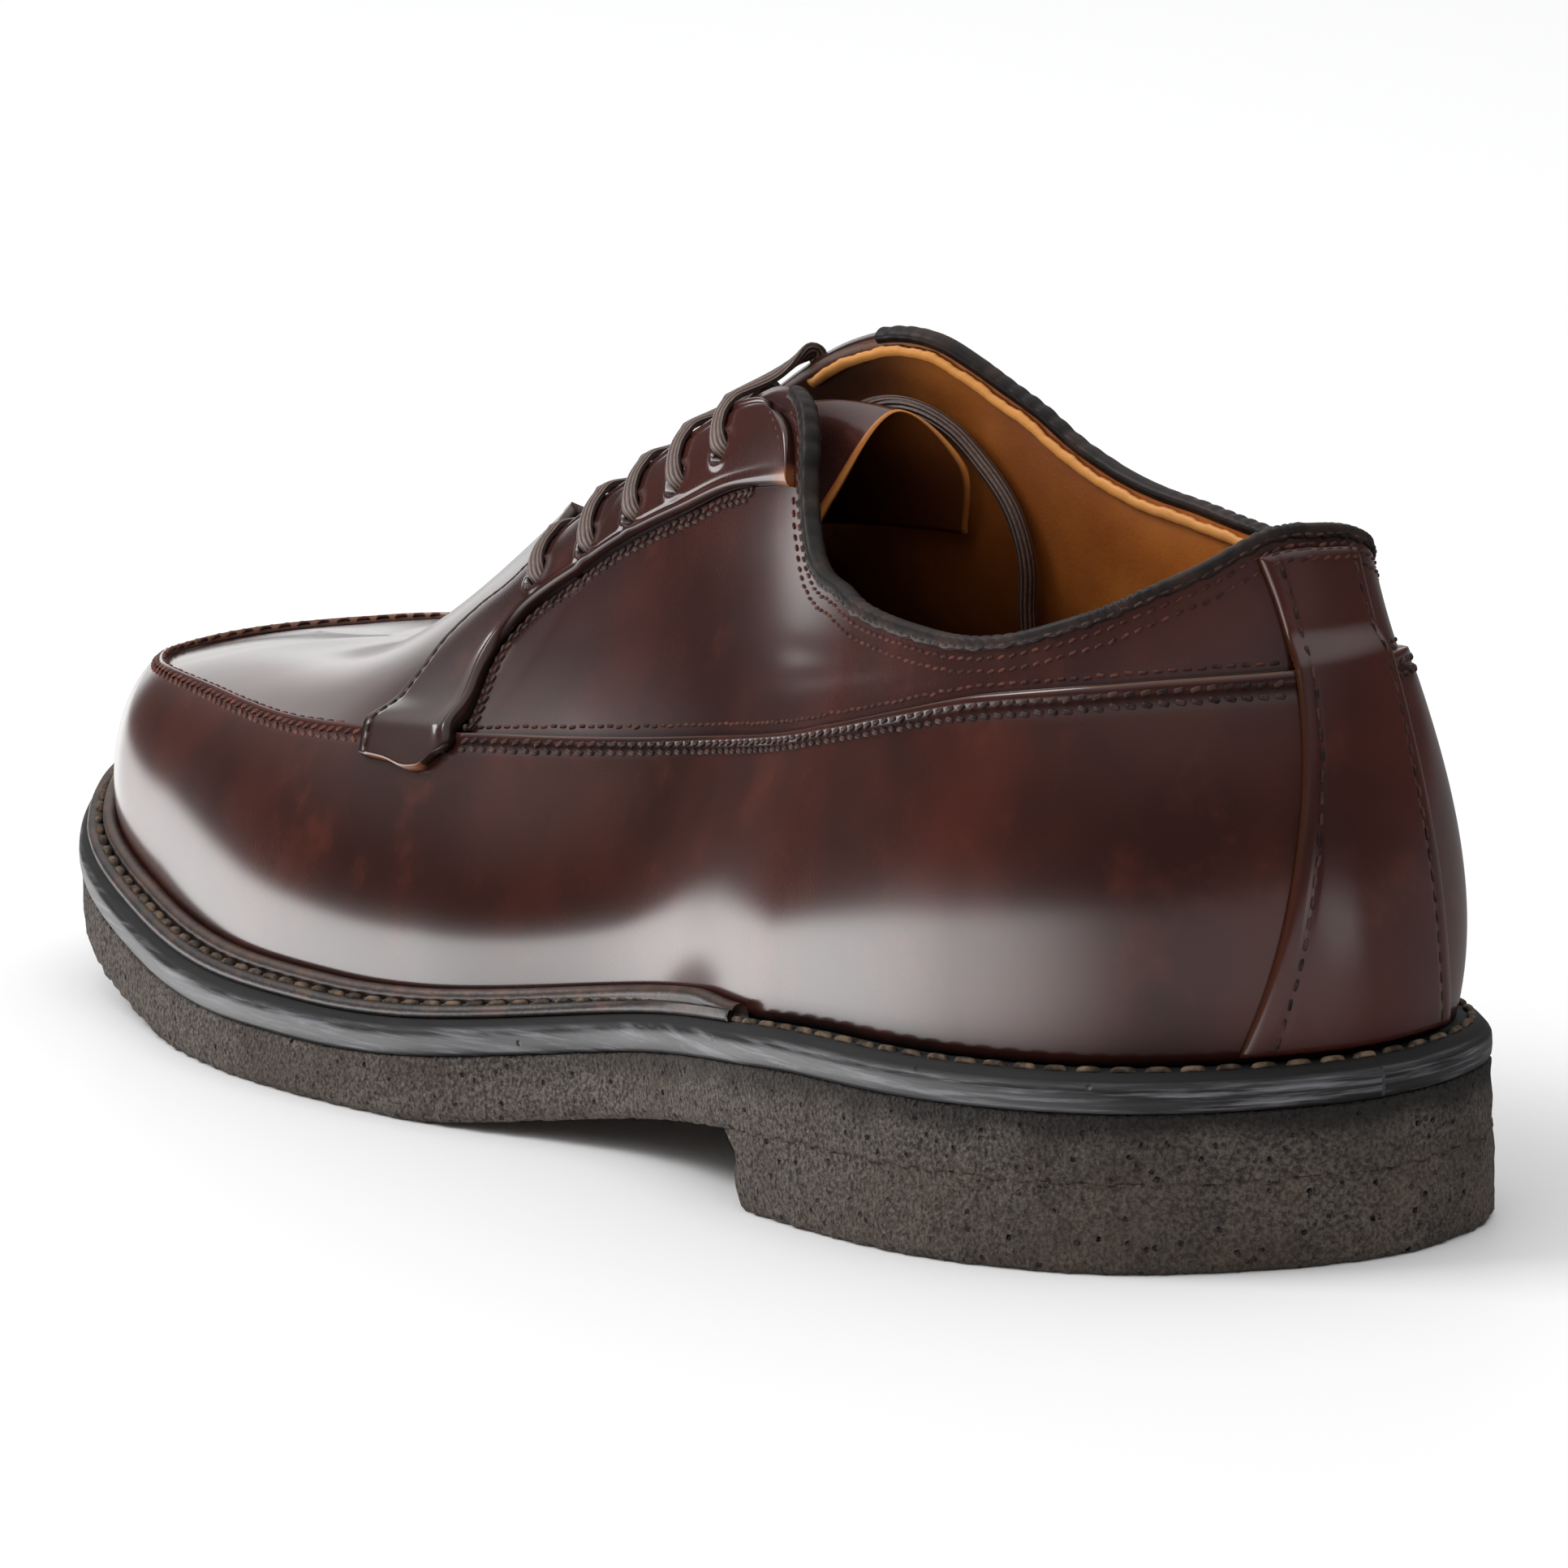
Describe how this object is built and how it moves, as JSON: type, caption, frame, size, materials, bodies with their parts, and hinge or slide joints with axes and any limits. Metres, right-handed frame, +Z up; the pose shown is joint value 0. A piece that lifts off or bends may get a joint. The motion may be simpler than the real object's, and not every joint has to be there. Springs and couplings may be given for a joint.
{
  "type": "apron toe derby",
  "caption": "Left lace-up derby shoe with a raised apron seam, storm welt and thick crepe sole with a separate heel, empty and standing on its sole.",
  "frame": {"origin": "bottom centre of the bounding box of the shoe, on the floor it stands on", "axes": "+Y from heel to toe, +X to the inner (medial) side of this left shoe, +Z up from the floor"},
  "size_m": [0.1052, 0.302, 0.1097],
  "materials": {
    "crepe": "granular crepe rubber with dark edge ink",
    "midsole": "glossy black edge with grey streaks",
    "welt": "waxed brown welt with a raised bead",
    "lining": "smooth orange tan lining leather",
    "upper_leather": "glossy reddish brown smooth leather",
    "overlay_leather": "glossy reddish brown smooth leather",
    "binding": "near black brown folded binding",
    "tongue_leather": "brown leather, tan underneath",
    "lace": "waxed brown ribbed lace"
  },
  "bodies": {
    "root": {"outsole": "crepe", "heel": "crepe", "midsole": "midsole", "storm_welt": "welt", "insole": "lining", "upper": "upper_leather", "facing_outer": "overlay_leather", "facing_inner": "overlay_leather", "back_strap": "overlay_leather", "collar_binding": "binding", "tongue": "tongue_leather", "lace_bar_1": "lace", "lace_bar_2": "lace", "lace_bar_3": "lace", "lace_bar_4": "lace", "lace_bar_5": "lace", "lace_end": "lace"}
  },
  "joints": []
}
